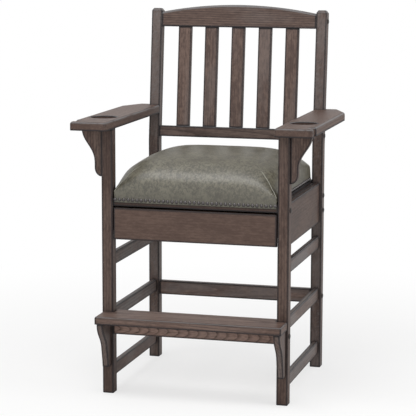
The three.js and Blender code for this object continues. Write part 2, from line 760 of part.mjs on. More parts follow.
// Rings of the cushion are drawn on the right half, front to rear, and mirrored.
const ringSteps = { across: 6, corner: 2 };
const sideStationShares = [0, 0.015, 0.04, 0.08, 0.14, 0.23, 0.36, 0.5, 0.65, 0.8, 0.92, 0.98];
const leatherBase = seatBoardTop + fitGap;
const frontBrow = leatherBase + boxingHeight;
const seatTop = frontBrow + crownRise;
const seatMiddle = (seatFront + seatRear) / 2;
const seatHalfLength = (seatRear - seatFront) / 2;

// How high the roll stands, from 1 in the middle of the seat to 0 at the edge.
function rollShare(edge, place) {
  const { flatnessShare, softnessShare } = leatherRolls[edge];
  return (1 - Math.min(1, place) ** flatnessShare) ** softnessShare;
}

// The height of the leather over a point of the seat.
function leatherHeight(x, y) {
  const across = rollShare('side', Math.abs(x) / seatHalf);
  const end = y < seatMiddle ? 'front' : 'rear';
  const along = rollShare(end, Math.abs(y - seatMiddle) / seatHalfLength);
  const climb = Math.min(1, (y - seatFront) / boxingClimbLength);
  const boxingTop = frontBrow + boxingRearRise * climb;
  return boxingTop + (seatTop - boxingTop) * across * along;
}

// The seat's outline, drawn in towards its middle by a share.
function cushionOutline(insetShare) {
  const keptShare = 1 - insetShare;
  const radius = cushionCornerRadius * keptShare;
  const half = seatHalf * keptShare - radius;
  const front = seatMiddle - seatHalfLength * keptShare + radius;
  const rear = seatMiddle + seatHalfLength * keptShare - radius;
  const quarter = Math.PI / 2;
  const points = [];
  for (let step = 0; step < ringSteps.across; step += 1) {
    points.push([half * Math.sin(quarter * (step / ringSteps.across)), front - radius]);
  }
  for (let step = 0; step < ringSteps.corner; step += 1) {
    const angle = (step / ringSteps.corner - 1) * quarter;
    points.push([half + radius * Math.cos(angle), front + radius * Math.sin(angle)]);
  }
  for (const share of sideStationShares) {
    points.push([half + radius, front + (rear - front) * share]);
  }
  for (let step = 0; step < ringSteps.corner; step += 1) {
    const angle = (step / ringSteps.corner) * quarter;
    points.push([half + radius * Math.cos(angle), rear + radius * Math.sin(angle)]);
  }
  for (let step = ringSteps.across; step >= 0; step -= 1) {
    points.push([half * Math.sin(quarter * (step / ringSteps.across)), rear + radius]);
  }
  const mirroredPoints = points.slice(1, -1).reverse().map(([x, y]) => [-x, y]);
  return [...points, ...mirroredPoints];
}

// The leather seat: upright boxing, then a rolled edge that meets itself in mitred corners and
// a crowned top.
function addCushion() {
  const insetShares = [0, 0.004, 0.012, 0.03, 0.06, 0.1, 0.16, 0.25, 0.37, 0.52, 0.7, 0.87];
  const flatRing = (inset, height) => cushionOutline(inset / seatHalf).map(([x, y]) => [x, y, height]);
  const domeRing = (share) => cushionOutline(share).map(([x, y]) => [x, y, leatherHeight(x, y)]);
  const rings = [
    flatRing(cushionUnderBevel, skirtBottom),
    flatRing(0, skirtBottom + cushionUnderBevel),
    flatRing(0, leatherBase),
    ...insetShares.map(domeRing),
  ];
  const count = rings[0].length;
  const bottomPoint = rings.length * count;
  const topPoint = bottomPoint + 1;
  const points = [...rings.flat(), [0, seatMiddle, skirtBottom], [0, seatMiddle, seatTop]];
  const index = [];
  for (let place = 0; place < count; place += 1) {
    const next = (place + 1) % count;
    for (let level = 0; level + 1 < rings.length; level += 1) {
      const low = level * count;
      const high = low + count;
      index.push(low + place, low + next, high + next, low + place, high + next, high + place);
    }
    const top = (rings.length - 1) * count;
    index.push(bottomPoint, next, place, topPoint, top + place, top + next);
  }
  const geometry = new THREE.BufferGeometry();
  geometry.setAttribute('position', new THREE.Float32BufferAttribute(points.flat(), 3));
  geometry.setIndex(index);
  const hollow = box([-legInner, legInner], [seatFront + skirtThickness, baseDepth],
    [skirtBottom - cutOverrun, leatherBase]);
  addPiece(chair, 'seat_cushion', cut(geometry, [hollow]), leatherLook);
}

// A row of domed nailheads on one thin strip, along X at y = 0 with the heads towards -Y.
function nailRow(span, height) {
  const count = Math.round((span[1] - span[0]) / nailPitch);
  const pitch = (span[1] - span[0]) / count;
  const half = nailStripWidth / 2;
  const strip = box([span[0], span[1]], [-nailStripThickness, 0], [height - half, height + half]);
  const bulgeShare = 0.75;
  const heads = Array.from({ length: count + 1 }, (_, index) => {
    const head = new THREE.LatheGeometry([
      new THREE.Vector2(0, 0),
      new THREE.Vector2(nailRadius, 0),
      new THREE.Vector2(nailRadius * bulgeShare, nailRise * bulgeShare),
      new THREE.Vector2(0, nailRise),
    ], nailSides);
    head.rotateX(Math.PI);
    head.translate(span[0] + index * pitch, 0, height);
    return head;
  });
  return join(strip, heads);
}

function addNailTrim() {
  const frontHalf = seatHalf - cushionCornerRadius;
  const front = nailRow([-frontHalf, frontHalf], nailFrontHeight);
  front.translate(0, seatFront - fitGap, 0);
  addPiece(chair, 'front_nail_trim', front, nailLook);
  for (const [word, side] of Object.entries(sides)) {
    const span = side > 0 ? [nailSideStart, nailSideEnd] : [-nailSideEnd, -nailSideStart];
    const row = nailRow(span, nailSideHeight);
    row.rotateZ(side * (Math.PI / 2));
    row.translate(side * (seatHalf + fitGap), 0, 0);
    addPiece(chair, `${word}_nail_trim`, row, nailLook);
  }
}

for (const [word, side] of Object.entries(sides)) {
  addFrontLeg(word, side);
  addRearPost(word, side);
  addSideBoards(word, side);
  addArm(word, side);
  addArmBracket(word, side);
  addFootrestBracket(word, side);
  addSlide(word, side);
  addBolts(word, side);
}
addCrossRails();
addLowerRail();
addCrest();
addSlats();
addFootrest();
addDrawer();
addSeatBoard();
addCushion();
addNailTrim();

// The chair is drawn from its leg fronts, then centred over its footprint.
const part = new THREE.Group();
part.add(chair);
const bounds = new THREE.Box3().setFromObject(part);
chair.position.y = -(bounds.min.y + bounds.max.y) / 2;

export default part;
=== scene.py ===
"""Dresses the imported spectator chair: stained oak boards, a stuffed leather seat with mitred
seams and nailheads, wooden buttons, a plain drawer box on steel slides, and a studio round it."""

import math
import random
from collections import namedtuple
from types import SimpleNamespace

import bmesh
import bpy
import numpy as np
from bpy.props import FloatProperty, FloatVectorProperty, IntProperty, PointerProperty
from mathutils import Matrix, Vector


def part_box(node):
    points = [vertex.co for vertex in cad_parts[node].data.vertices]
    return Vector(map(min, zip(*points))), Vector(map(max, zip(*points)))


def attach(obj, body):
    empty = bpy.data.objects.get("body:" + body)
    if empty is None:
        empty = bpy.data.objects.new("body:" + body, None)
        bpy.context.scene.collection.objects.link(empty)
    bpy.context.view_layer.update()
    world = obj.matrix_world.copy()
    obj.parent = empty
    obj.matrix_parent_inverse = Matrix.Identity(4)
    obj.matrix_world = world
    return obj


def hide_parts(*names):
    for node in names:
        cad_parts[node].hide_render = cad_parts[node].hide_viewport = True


bl_info = {
    "name": "Spectator Chair",
    "version": (1, 0, 0),
    "blender": (4, 5, 0),
    "location": "View3D > Sidebar > Chair",
    "description": "Oak, leather, nailheads and studio for a bar-height spectator chair",
    "category": "Object",
}

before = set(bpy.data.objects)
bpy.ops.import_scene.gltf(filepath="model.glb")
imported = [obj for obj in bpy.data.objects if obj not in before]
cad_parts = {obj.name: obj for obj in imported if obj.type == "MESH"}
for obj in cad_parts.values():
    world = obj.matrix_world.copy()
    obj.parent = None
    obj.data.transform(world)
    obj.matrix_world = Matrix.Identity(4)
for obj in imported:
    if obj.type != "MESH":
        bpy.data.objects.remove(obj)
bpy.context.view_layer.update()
BODY = "frame"
SEAT_LOW, SEAT_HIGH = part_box("seat_cushion")
BOARD_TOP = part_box("seat_board")[1].z
UP, ACROSS, DEEP = Vector((0, 0, 1)), Vector((1, 0, 0)), Vector((0, 1, 0))


# Settings that a user would change, in metres and linear colours.


def colour(name, text, default):
    return FloatVectorProperty(
        name=name, description=text, subtype="COLOR", size=3, min=0, max=1, default=default
    )


def length(name, text, default):
    return FloatProperty(name=name, description=text, default=default, min=0, unit="LENGTH")


def share(name, text, default):
    return FloatProperty(
        name=name, description=text, default=default, min=0, max=1, subtype="FACTOR"
    )


def power(name, text, default):
    return FloatProperty(name=name, description=text, default=default, min=0, unit="POWER")


class OakSettings(bpy.types.PropertyGroup):
    stain: colour("Stain", "Colour of the plain stained wood", (0.074, 0.045, 0.036))
    light: colour("Light wood", "Where the stain was wiped off", (0.154, 0.101, 0.080))
    silver: colour("Silver wash", "Cool grey left in the wood", (0.145, 0.138, 0.138))
    pore: colour("Pores", "Open grain that holds the stain", (0.024, 0.017, 0.016))
    glaze: colour("Glaze", "Dark glaze left along the edges", (0.016, 0.015, 0.017))
    # rub is a grey line painted along the upper edges: a painted highlight where a rounded arris
    # would catch the top light, broken into patches like wear.
    rub: colour("Rubbed edges", "Worn line on the upper edges", (0.185, 0.185, 0.19))
    edge_glaze: share("Edge glaze", "How much glaze lies along the edges", 0.95)
    # The joint glaze darkens wherever another surface stands close, in corners and between parts:
    # partly glaze, partly painted shade.
    joint_glaze_and_shade: share("Joint glaze", "How much glaze lies in the joints", 0.55)
    # The next share sets how much of that painted highlight and wear the upper edges get.
    rubbing: share("Rubbing", "How much of the upper edges is worn", 0.8)
    ring_gap: length("Ring gap", "Width of one year's growth", 0.0048)
    edge_reach: length("Glaze reach", "How far the glaze runs in from an edge", 0.007)
    # How far that glaze and painted shade reach out of a joint.
    joint_shade_reach: length("Joint reach", "How far glaze runs out of a joint", 0.012)
    rounding: length("Edge rounding", "Radius that the edges appear to have", 0.0012)
    roughness: share("Roughness", "Roughness of the satin lacquer", 0.46)
    gloss: share("Gloss", "How much the lacquer mirrors", 0.17)


class LeatherSettings(bpy.types.PropertyGroup):
    dark: colour("Dark leather", "Deep tone of the mottling", (0.045, 0.0400, 0.0265))
    light: colour("Light leather", "Rubbed tone of the mottling", (0.129, 0.1185, 0.0835))
    # seam is the pale tone laid over the welts: a painted highlight along the seams.
    seam: colour("Seam", "Rubbed top of the seams", (0.30, 0.29, 0.24))
    seam_highlight: share("Seam wear", "How much of the seams is rubbed", 0.55)
    roughness: share("Roughness", "Roughness of the finish", 0.39)
    gloss: share("Gloss", "How much the wax mirrors", 0.72)
    grain: length("Grain", "Size of the leather's pebbles", 0.0011)


class SeatSettings(bpy.types.PropertyGroup):
    slack: length("Slack", "How much smaller the seat starts than it ends", 0.0004)
    swell: length("Swell", "The most that stuffing moves the leather", 0.0018)
    pressure: FloatProperty(
        name="Stuffing", description="Pressure that fills the seat", default=4.0, min=0
    )
    welt: length("Welt", "Radius of the raised front seams", 0.0017)
    tuck: length("Tuck", "How far the seams pull the leather in", 0.0009)
    wall: length("Leather", "Thickness of the leather over the front rail", 0.0034)
    shoulder: length("Shoulder", "How far in the side shoulders are softened", 0.014)


class NailSettings(bpy.types.PropertyGroup):
    metal: colour("Metal", "Polished pewter on the domes", (0.090, 0.083, 0.083))
    # The patina colour darkens the rims and wherever the heads meet the leather: patina, and
    # painted shade.
    patina_and_shade: colour("Patina", "Dark metal round the heads' rims", (0.008, 0.0075, 0.008))
    radius: length("Radius", "Radius of a head", 0.0060)
    rise: length("Rise", "Height of a head", 0.0034)
    pitch: length("Spacing", "From one head to the next", 0.0149)


class BoxSettings(bpy.types.PropertyGroup):
    wood: colour("Bare wood", "Unstained boards inside", (0.36, 0.25, 0.16))
    streak: colour("Streaks", "Darker grain of the bare wood", (0.25, 0.16, 0.095))
    steel: colour("Steel", "Drawer slides", (0.42, 0.43, 0.44))
    button: colour("Buttons", "Stained wooden buttons", (0.022, 0.019, 0.018))
    button_gloss: share("Button gloss", "How much the buttons mirror", 0.25)


class StudioSettings(bpy.types.PropertyGroup):
    floor: colour("Floor", "Pale floor", (0.86, 0.86, 0.855))
    top_power: power("Top light", "Soft box overhead", 63)
    front_power: power("Front light", "Soft box in front", 29)
    side_power: power("Side light", "Soft box to the right", 50)
    ambient: FloatProperty(
        name="Room light", description="Light from the white room", default=0.57, min=0
    )
    rings: IntProperty(name="Floor rings", description="Rings of the floor disc", default=24, min=3)


class ChairSettings(bpy.types.PropertyGroup):
    oak: PointerProperty(type=OakSettings)
    leather: PointerProperty(type=LeatherSettings)
    seat: PointerProperty(type=SeatSettings)
    nails: PointerProperty(type=NailSettings)
    box: PointerProperty(type=BoxSettings)
    studio: PointerProperty(type=StudioSettings)


# Shader maths.

RAYS_PER_SAMPLE = 6


class Socket:
    """An output of a shader node. A sum on it adds the Math node that works it out."""

    def __init__(self, finish, output):
        self.finish, self.output = finish, output

    def maths(self, operation, *values):
        values = dict(enumerate(values or (self,)))
        return self.finish.node("ShaderNodeMath", {"operation": operation}, values)

    def also(self, output):
        return Socket(self.finish, self.output.node.outputs[output])

    def __add__(self, other):
        return self.maths("ADD", self, other)

    def __sub__(self, other):
        return self.maths("SUBTRACT", self, other)

    def __rsub__(self, other):
        return self.maths("SUBTRACT", other, self)

    def __mul__(self, other):
        return self.maths("MULTIPLY", self, other)

    def __truediv__(self, other):
        return self.maths("DIVIDE", self, other)

    def __pow__(self, other):
        return self.maths("POWER", self, other)

    __radd__ = __add__
    __rmul__ = __mul__


class Finish:
    """A node tree in the making. node() adds any node, with its settings and its sockets."""

    def __init__(self, tree):
        self.tree = tree
        tree.nodes.clear()

    def node(self, kind, settings=None, sockets=None, output=0):
        made = self.tree.nodes.new(kind)
        for name, value in (settings or {}).items():
            setattr(made, name, value)
        for key, value in (sockets or {}).items():
            if isinstance(value, Socket):
                self.tree.links.new(value.output, made.inputs[key])
            else:
                made.inputs[key].default_value = value
        return Socket(self, made.outputs[output]) if made.outputs else made

    def place(self):
        return self.node("ShaderNodeTexCoord", output="Object")

    def moved(self, place, **sockets):
        return self.node("ShaderNodeMapping", {}, {"Vector": place, **sockets})

    def noise(self, place, scale, detail=2.0, roughness=0.5, distortion=0.0):
        """Noise with scale waves to the metre, or with a number of waves for each axis."""
        if isinstance(scale, (tuple, list)):
            place, scale = self.moved(place, Scale=scale), 1
        sockets = {"Vector": place, "Scale": scale, "Detail": detail, "Roughness": roughness}
        return self.node("ShaderNodeTexNoise", {}, {**sockets, "Distortion": distortion})

    def step(self, value, low, high):
        """0 below low, 1 above high, smooth between them."""
        return self.node(
            "ShaderNodeMapRange",
            {"interpolation_type": "SMOOTHSTEP"},
            {"Value": value, "From Min": low, "From Max": high},
        )

    def mix(self, factor, first, second):
        """The colour first, over to the colour second as factor goes from 0 to 1."""
        tones = {
            key: tone if isinstance(tone, Socket) else (*tone, 1)
            for key, tone in {6: first, 7: second}.items()
        }
        return self.node("ShaderNodeMix", {"data_type": "RGBA"}, {0: factor, **tones}, 2)

    def parts(self, vector):
        """The three numbers of a vector."""
        x = self.node("ShaderNodeSeparateXYZ", {}, {"Vector": vector})
        return x, x.also(1), x.also(2)

    def openness(self, reach, **settings):
        """1 where nothing stands within reach of the surface, less in a hollow or a joint."""
        settings = {"samples": RAYS_PER_SAMPLE, **settings}
        return self.node("ShaderNodeAmbientOcclusion", settings, {"Distance": reach}, "AO")

    def edge(self, reach):
        """Near 1 on the sharp outer edges of a piece, 0 on its flat faces."""
        return 1 - self.openness(reach, inside=True, only_local=True)

    def bump(self, height, strength, distance, **sockets):
        sockets = {"Strength": strength, "Distance": distance, "Height": height, **sockets}
        return self.node("ShaderNodeBump", {}, sockets)

    def principled(self, sockets):
        shader = self.node("ShaderNodeBsdfPrincipled", {}, sockets)
        self.node("ShaderNodeOutputMaterial", {}, {"Surface": shader})


def new_finish(name):
    material = bpy.data.materials.new(name)
    material.use_nodes = True
    return material, Finish(material.node_tree)


def dress(piece, material):
    """Gives a CAD node its finish on the object, so that its mesh stays as imported."""
    for slot in piece.material_slots:
        slot.link = "OBJECT"
        slot.material = material


# Oak. Each board is cut from a log of its own: rings round a pith line beside the board.

BACK_RAKE = math.radians(5.7)
LEAN = Vector((0, math.sin(BACK_RAKE), math.cos(BACK_RAKE)))
# Per kind of board: the way its grain runs, the way its face looks, how it was sawn, how
# strong its figure is, how mottled its stain, how pale its stain is painted, its silver wash,
# and how much painted highlight and wear its upper edges get. The paleness is partly painted
# light: it is raised on the stretchers and the footrest board, which sit in shade, and lowered
# on brightly lit faces such as the side panels.
Board = namedtuple("Board", "grain face sawing figure mottle pale silver rubbing")
BOARDS = {
    "front_leg": Board(UP, DEEP, "rift", 1.0, 0.9, 0.75, 0.04, 0.1),
    "rear_post": Board(UP, DEEP, "quarter", 1.1, 0.9, 0.90, 0.28, 0.3),
    "side_panel": Board(DEEP, ACROSS, "rift", 0.6, 0.9, 0.63, 0.0, 0.3),
    "side_stretcher": Board(DEEP, ACROSS, "rift", 0.8, 1.0, 1.06, 0.42, 0.5),
    "arm": Board(DEEP, UP, "rift", 0.8, 0.6, 0.84, 0.02, 0.7),
    "arm_bracket": Board(UP, DEEP, "rift", 0.9, 1.0, 0.95, 0.06, 0.2),
    "footrest_bracket": Board(UP, ACROSS, "rift", 1.0, 0.8, 1.05, 0.26, 0.4),
    "rear_apron": Board(ACROSS, DEEP, "flat", 0.9, 0.8, 0.90, 0.08, 0.2),
    "rear_stretcher": Board(ACROSS, DEEP, "flat", 0.8, 0.8, 2.00, 0.42, 0.4),
    "front_seat_rail": Board(ACROSS, DEEP, "rift", 0.9, 0.6, 0.58, 0.0, 0.0),
    "front_stretcher": Board(ACROSS, DEEP, "cathedral", 1.5, 0.5, 2.10, 0.14, 0.2),
    "lower_back_rail": Board(ACROSS, DEEP, "flat", 1.3, 0.8, 0.84, 0.10, 0.6),
    "crest_rail": Board(ACROSS, DEEP, "rift", 1.4, 0.5, 0.96, 0.18, 0.9),
    "back_slat": Board(LEAN, DEEP, "rift", 0.6, 1.0, 1.05, 0.20, 0.2),
    "footrest_board": Board(ACROSS, UP, "flat", 1.2, 0.6, 1.26, 0.08, 0.6),
    "drawer_front": Board(ACROSS, DEEP, "rift", 0.35, 0.5, 0.90, 0.0, 0.0),
    "seat_ledger": Board(DEEP, ACROSS, "rift", 0.8, 0.6, 0.70, 0.0, 0.0),
    "seat_board": Board(ACROSS, UP, "rift", 0.8, 0.6, 0.70, 0.0, 0.0),
}
# Per sawing: how far the pith lies sideways and behind the face, how much it slants, how
# many ray flecks show, and the share of a ring over which its open wood fades.
Sawing = namedtuple("Sawing", "aside behind slant rays fade")
SAWING = {
    "rift": Sawing(0.085, 0.080, 0.004, 0.0, 0.62),
    "quarter": Sawing(0.140, 0.020, 0.004, 0.45, 0.62),
    "flat": Sawing(0.006, 0.062, 0.022, 0.0, 0.62),
    "cathedral": Sawing(0.000, 0.078, 0.135, 0.0, 0.45),
}
# How far the rings bend over a board's length, and how far they waver.
RING_BEND, RING_WAVER = 0.014, 0.002
# Per noise in the wood: its waves to the metre across and along the grain, its detail, and
# the roughness of that detail.
WOOD_NOISES = {
    "bend": (9, 1.7, 1, 0.5),
    "waver": (38, 9, 1, 0.5),
    "fibre": (520, 9, 3, 0.6),
    "streak": (210, 6, 3, 0.6),
    "pores": (900, 34, 2, 0.6),
    "cloud": (13, 4.2, 3, 0.55),
    "blotch": (150, 48, 3, 0.7),
    "wear": (60, 14, 2, 0.5),
}
RAY_NOISE = (75, 190, 3, 0.6)
# Per mask on the wood: the value at which it starts, and the value at which it is full.
WOOD_MASKS = {
    "pores": (0.52, 0.68),
    "fibre": (0.60, 0.80),
    "wiped": (0.41, 0.59),
    "wash": (0.40, 0.62),
    "rays": (0.48, 0.72),
    "edge": (0.06, 0.21),
    "joint": (0.10, 0.55),
    "upward": (0.22, 0.42),
    "level": (0.80, 0.95),
    "wear": (0.22, 0.52),
}


def kind_of(name):
    """The entry of BOARDS that a node's name ends with, apart from its number, or None."""
    bare = name.rstrip("_12345")
    fits = [kind for kind in BOARDS if bare.endswith(kind)]
    return max(fits, key=len, default=None)


def board_place(finish, name, board):
    """Coordinates in the board: X across its face, Y through it, Z along its grain."""
    low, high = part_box(name)
    along = board.grain.normalized()
    through = (board.face - board.face.dot(along) * along).normalized()
    turn = Matrix((through.cross(along), through, along)).transposed().to_euler()
    return finish.node(
        "ShaderNodeMapping",
        {"vector_type": "TEXTURE"},
        {"Vector": finish.place(), "Location": (low + high) / 2, "Rotation": turn},
    )


def cut_from_log(name, sawing):
    """Where a board lies in its log and how it took its stain, drawn from its name."""
    chance = random.Random(name)
    cut = SAWING[sawing]
    aside = cut.aside * chance.uniform(0.8, 1.3) + chance.uniform(-0.006, 0.006)
    return SimpleNamespace(
        aside=aside * chance.choice((-1, 1)),
        behind=cut.behind * chance.uniform(0.85, 1.25),
        slant=cut.slant * chance.uniform(0.8, 1.2),
        shift=[chance.uniform(-5, 5) for _ in range(3)],
        growth=1 if sawing == "cathedral" else chance.uniform(0.9, 1.6),
        tone=chance.uniform(-0.02, 0.02),
        pale=chance.uniform(0.94, 1.06),
        ray_turn=math.radians(chance.uniform(24, 40)) if cut.rays else 0,
        rays=cut.rays,
        fade=cut.fade,
    )


def wood_noise(finish, place, across, along, detail, roughness):
    return finish.noise(place, (across, across, along), detail, roughness)


def wood_mask(finish, kind, value):
    return finish.step(value, *WOOD_MASKS[kind])


def open_grain(settings, finish, place, noises, board, cut):
    """How much stain the wood holds: most in the pores that begin each year's ring."""
    x, y, z = finish.parts(place)
    sideways, inward = x - cut.aside, y + cut.behind + cut.slant * z
    radius = (sideways * sideways + inward * inward) ** 0.5
    radius = radius + RING_BEND * noises["bend"] + RING_WAVER * noises["waver"]
    year = (radius / (settings.ring_gap * cut.growth)).maths("FRACT")
    early = 1 - finish.step(year, 0.0, cut.fade)
    pores = wood_mask(finish, "pores", noises["pores"])
    held = early * (0.34 + 0.5 * pores) + 0.26 * pores * (1 - early)
    held = (held + 0.30 * wood_mask(finish, "fibre", noises["fibre"])) * board.figure
    return held.maths("MINIMUM", held, 1.0)


def wiped_stain(settings, finish, noises, board, cut):
    """Stain that was wiped off unevenly, under a patchy silver wash."""
    level = 0.34 * noises["cloud"] + 0.20 * noises["streak"] + 0.46 * noises["blotch"] + cut.tone
    # The board's paleness is partly painted light: boards in shade, such as the stretchers, are
    # painted paler.
    pale = board.pale * cut.pale
    stain, light = ([pale * part for part in tint] for tint in (settings.stain, settings.light))
    wiped = 0.5 + board.mottle * (wood_mask(finish, "wiped", level) - 0.5)
    wash = wood_mask(finish, "wash", noises["cloud"] + 0.6 * noises["bend"])
    wash = board.silver * (0.4 + 1.2 * wash)
    return finish.mix(wash, finish.mix(wiped, stain, light), settings.silver)


def ray_flecks(settings, finish, wood, place, cut):
    """Silvery flecks across the grain, which quarter sawing lays bare."""
    slanted = finish.moved(place, Rotation=(0, cut.ray_turn, 0))
    flecks = wood_mask(finish, "rays", wood_noise(finish, slanted, *RAY_NOISE))
    return finish.mix(cut.rays * flecks, wood, settings.silver)


def glazed(settings, finish, wood, normal, noises, board):
    """Glaze on the edges, glaze and painted shade in joints, painted highlight and wear on upper
    edges.
    """
    edge = wood_mask(finish, "edge", finish.edge(settings.edge_reach))
    # Darkened by how closed in the surface is, out of corners and joints: glaze, and painted shade.
    joint = wood_mask(finish, "joint", 1 - finish.openness(settings.joint_shade_reach))
    shaded = finish.mix(settings.edge_glaze * edge, wood, settings.glaze)
    shaded = finish.mix(settings.joint_glaze_and_shade * joint, shaded, settings.glaze)
    # The upper edges are lightened in patches towards the rub tone: a painted highlight on the
    # arrises that face up, broken up like wear.
    lift = finish.parts(normal)[2]
    upper = wood_mask(finish, "upward", lift) * (1 - wood_mask(finish, "level", lift))
    lighter = settings.rubbing * board.rubbing * upper * wood_mask(finish, "wear", noises["wear"])
    return finish.mix(lighter, shaded, settings.rub)


def oak(settings, name, board):
    """Stained oak for one board."""
    material, finish = new_finish("oak_" + name)
    place = board_place(finish, name, board)
    cut = cut_from_log(name, board.sawing)
    moved = finish.moved(place, Location=cut.shift)
    noises = {kind: wood_noise(finish, moved, *shape) for kind, shape in WOOD_NOISES.items()}
    for kind in ("bend", "waver"):
        noises[kind] = noises[kind] - 0.5
    held = open_grain(settings, finish, place, noises, board, cut)
    wood = finish.mix(held, wiped_stain(settings, finish, noises, board, cut), settings.pore)
    if cut.rays:
        wood = ray_flecks(settings, finish, wood, moved, cut)
    sockets = {"Radius": settings.rounding}
    rounded = finish.node("ShaderNodeBevel", {"samples": RAYS_PER_SAMPLE}, sockets)
    relief = 0.6 * (1 - held) + 0.4 * noises["fibre"]
    finish.principled(
        {
            "Base Color": glazed(settings, finish, wood, rounded, noises, board),
            "Roughness": settings.roughness + 0.18 * held + 0.10 * (noises["cloud"] - 0.5),
            "Normal": finish.bump(relief, strength=0.35, distance=0.0004, Normal=rounded),
            "Specular IOR Level": settings.gloss,
        }
    )
    return material


# Plain boards, metal and leather.

# Waves of the bare wood's grain to the metre, along it and across it, and how many times
# fewer its broad streaks have.
BARE_ALONG, BARE_ACROSS, BARE_BROADER = 6, 240, 12
# How far dirt reaches in from an edge of the bare wood, and how far out from under a nailhead
# its dark patina and painted shade reach.
BARE_EDGE, PATINA_AND_SHADE_REACH = 0.003, 0.004
# Per noise in the leather: its waves to the metre, its detail, the roughness of that detail,
# and how far it is distorted.
LEATHER_NOISES = {
    "broad": (26, 4, 0.62, 0.6),
    "patch": ((125, 125, 90), 4, 0.72, 0.5),
    "fleck": (300, 3, 0.6, 0.0),
    "crease": (120, 4, 0.7, 1.2),
}
# The leather is darker towards its lower edge: from this far below its base to this far above
# it, the deep tone fades out from this share.
DARKER_LOW_BELOW, DARKER_LOW_ABOVE, DARKER_LOW_TONE = 0.01, 0.07, 0.45


def bare_wood(settings, name, along):
    """Unstained wood of the boards that only show when the drawer is out."""
    material, finish = new_finish(name)
    fine = [BARE_ALONG if axis == along else BARE_ACROSS for axis in "xyz"]
    coarse = [waves / BARE_BROADER for waves in fine]
    place = finish.place()
    fibre = finish.noise(place, fine, 4, 0.62)
    broad = finish.noise(place, coarse)
    streak = finish.step(0.6 * fibre + 0.4 * broad, 0.38, 0.66)
    edge = finish.step(finish.edge(BARE_EDGE), 0.2, 0.5)
    plain = finish.mix(streak, settings.wood, settings.streak)
    finish.principled(
        {
            "Base Color": finish.mix(0.35 * edge, plain, settings.streak),
            "Roughness": 0.62 + 0.12 * fibre,
            "Normal": finish.bump(fibre, strength=0.3, distance=0.0003),
        }
    )
    return material


def slide_steel(settings):
    """Zinc-plated sheet steel, drawn along its length."""
    material, finish = new_finish("slide_steel")
    place = finish.place()
    drawn = finish.noise(place, (900, 14, 900), 3)
    smear = finish.noise(place, 30, 3)
    dull = [0.6 * part for part in settings.steel]
    finish.principled(
        {
            "Base Color": finish.mix(0.6 * smear, settings.steel, dull),
            "Metallic": 1.0,
            "Roughness": 0.26 + 0.22 * drawn + 0.08 * smear,
            "Normal": finish.bump(drawn, strength=0.15, distance=0.0002),
        }
    )
    return material


def button_wood(settings):
    """End grain of the stained buttons over the bolts."""
    material, finish = new_finish("button_wood")
    speck = finish.noise(finish.place(), (180, 900, 900), 3, 0.6)
    pale = [2.1 * part for part in settings.button]
    finish.principled(
        {
            "Base Color": finish.mix(speck, settings.button, pale),
            "Roughness": 0.40 + 0.2 * speck,
            "Normal": finish.bump(speck, strength=0.3, distance=0.0003),
            "Specular IOR Level": settings.button_gloss,
        }
    )
    return material


def nail_metal(settings):
    """Aged pewter: bright on the domes, dark round the rims as patina and painted shade."""
    material, finish = new_finish("nail_metal")
    age = finish.noise(finish.place(), 260, 3, 0.6)
    # Dark where the heads meet the leather and each other: patina, and painted shade.
    polished_and_open = finish.step(finish.openness(PATINA_AND_SHADE_REACH) + 0.3 * (age - 0.5), 0.60, 1.0)
    finish.principled(
        {
            "Base Color": finish.mix(polished_and_open, settings.patina_and_shade, settings.metal),
            "Metallic": 1.0,
            "Roughness": 0.15 + 0.12 * age,
            "Normal": finish.bump(age, strength=0.25, distance=0.0003),
        }
    )
    return material


def leather(settings, name, lightened=0.0):
    """Mottled, waxed leather with a pebbled grain, darker low down, and lightened by a share
    towards the seam tone, a painted highlight on the welts.
    """
    material, finish = new_finish(name)
    place = finish.place()
    broad, patch, fleck, crease = (
        finish.noise(place, *shape) for shape in LEATHER_NOISES.values()
    )
    tone = finish.step(0.24 * broad + 0.56 * patch + 0.20 * fleck, 0.42, 0.58)
    mottled = finish.mix(tone, settings.dark, settings.light)
    height = finish.parts(place)[2]
    # Darker towards the bottom of the seat, fading out a few centimetres above its base.
    lighter = finish.step(height, LEATHER_BASE - DARKER_LOW_BELOW, LEATHER_BASE + DARKER_LOW_ABOVE)
    mottled = finish.mix(DARKER_LOW_TONE * (1 - lighter), mottled, settings.dark)
    pebbles = finish.node(
        "ShaderNodeTexVoronoi", {"feature": "F1"}, {"Vector": place, "Scale": 1 / settings.grain}
    )
    relief = 0.45 * (1 - finish.step(pebbles, 0.1, 0.7)) + 0.55 * crease
    finish.principled(
        {
            # Lightened by a share towards the seam tone: a painted highlight on the welts.
            "Base Color": finish.mix(lightened, mottled, settings.seam),
            "Roughness": settings.roughness + 0.16 * (patch - 0.5) + 0.08 * fleck,
            "Normal": finish.bump(relief, strength=0.32, distance=0.0006),
            "Specular IOR Level": settings.gloss,
        }
    )
    return material


# Meshes.


def new_piece(name, points, faces, material):
    mesh = bpy.data.meshes.new(name)
    mesh.from_pydata([tuple(point) for point in points], [], faces)
    mesh.validate()
    piece = bpy.data.objects.new(name, mesh)
    bpy.context.scene.collection.objects.link(piece)
    mesh.materials.append(material)
    mesh.polygons.foreach_set("use_smooth", [True] * len(mesh.polygons))
    return piece


def even_normals(piece):
    work = bmesh.new()
    work.from_mesh(piece.data)
    bmesh.ops.recalc_face_normals(work, faces=work.faces)
    work.to_mesh(piece.data)
    work.free()


def ring(centre, across, other, radius, steps):
    """Points round a centre, in the plane of across and other."""
    turns = [2 * math.pi * step / steps for step in range(steps)]
    spokes = [across * math.cos(turn) + other * math.sin(turn) for turn in turns]
    return [centre + spoke * radius for spoke in spokes]


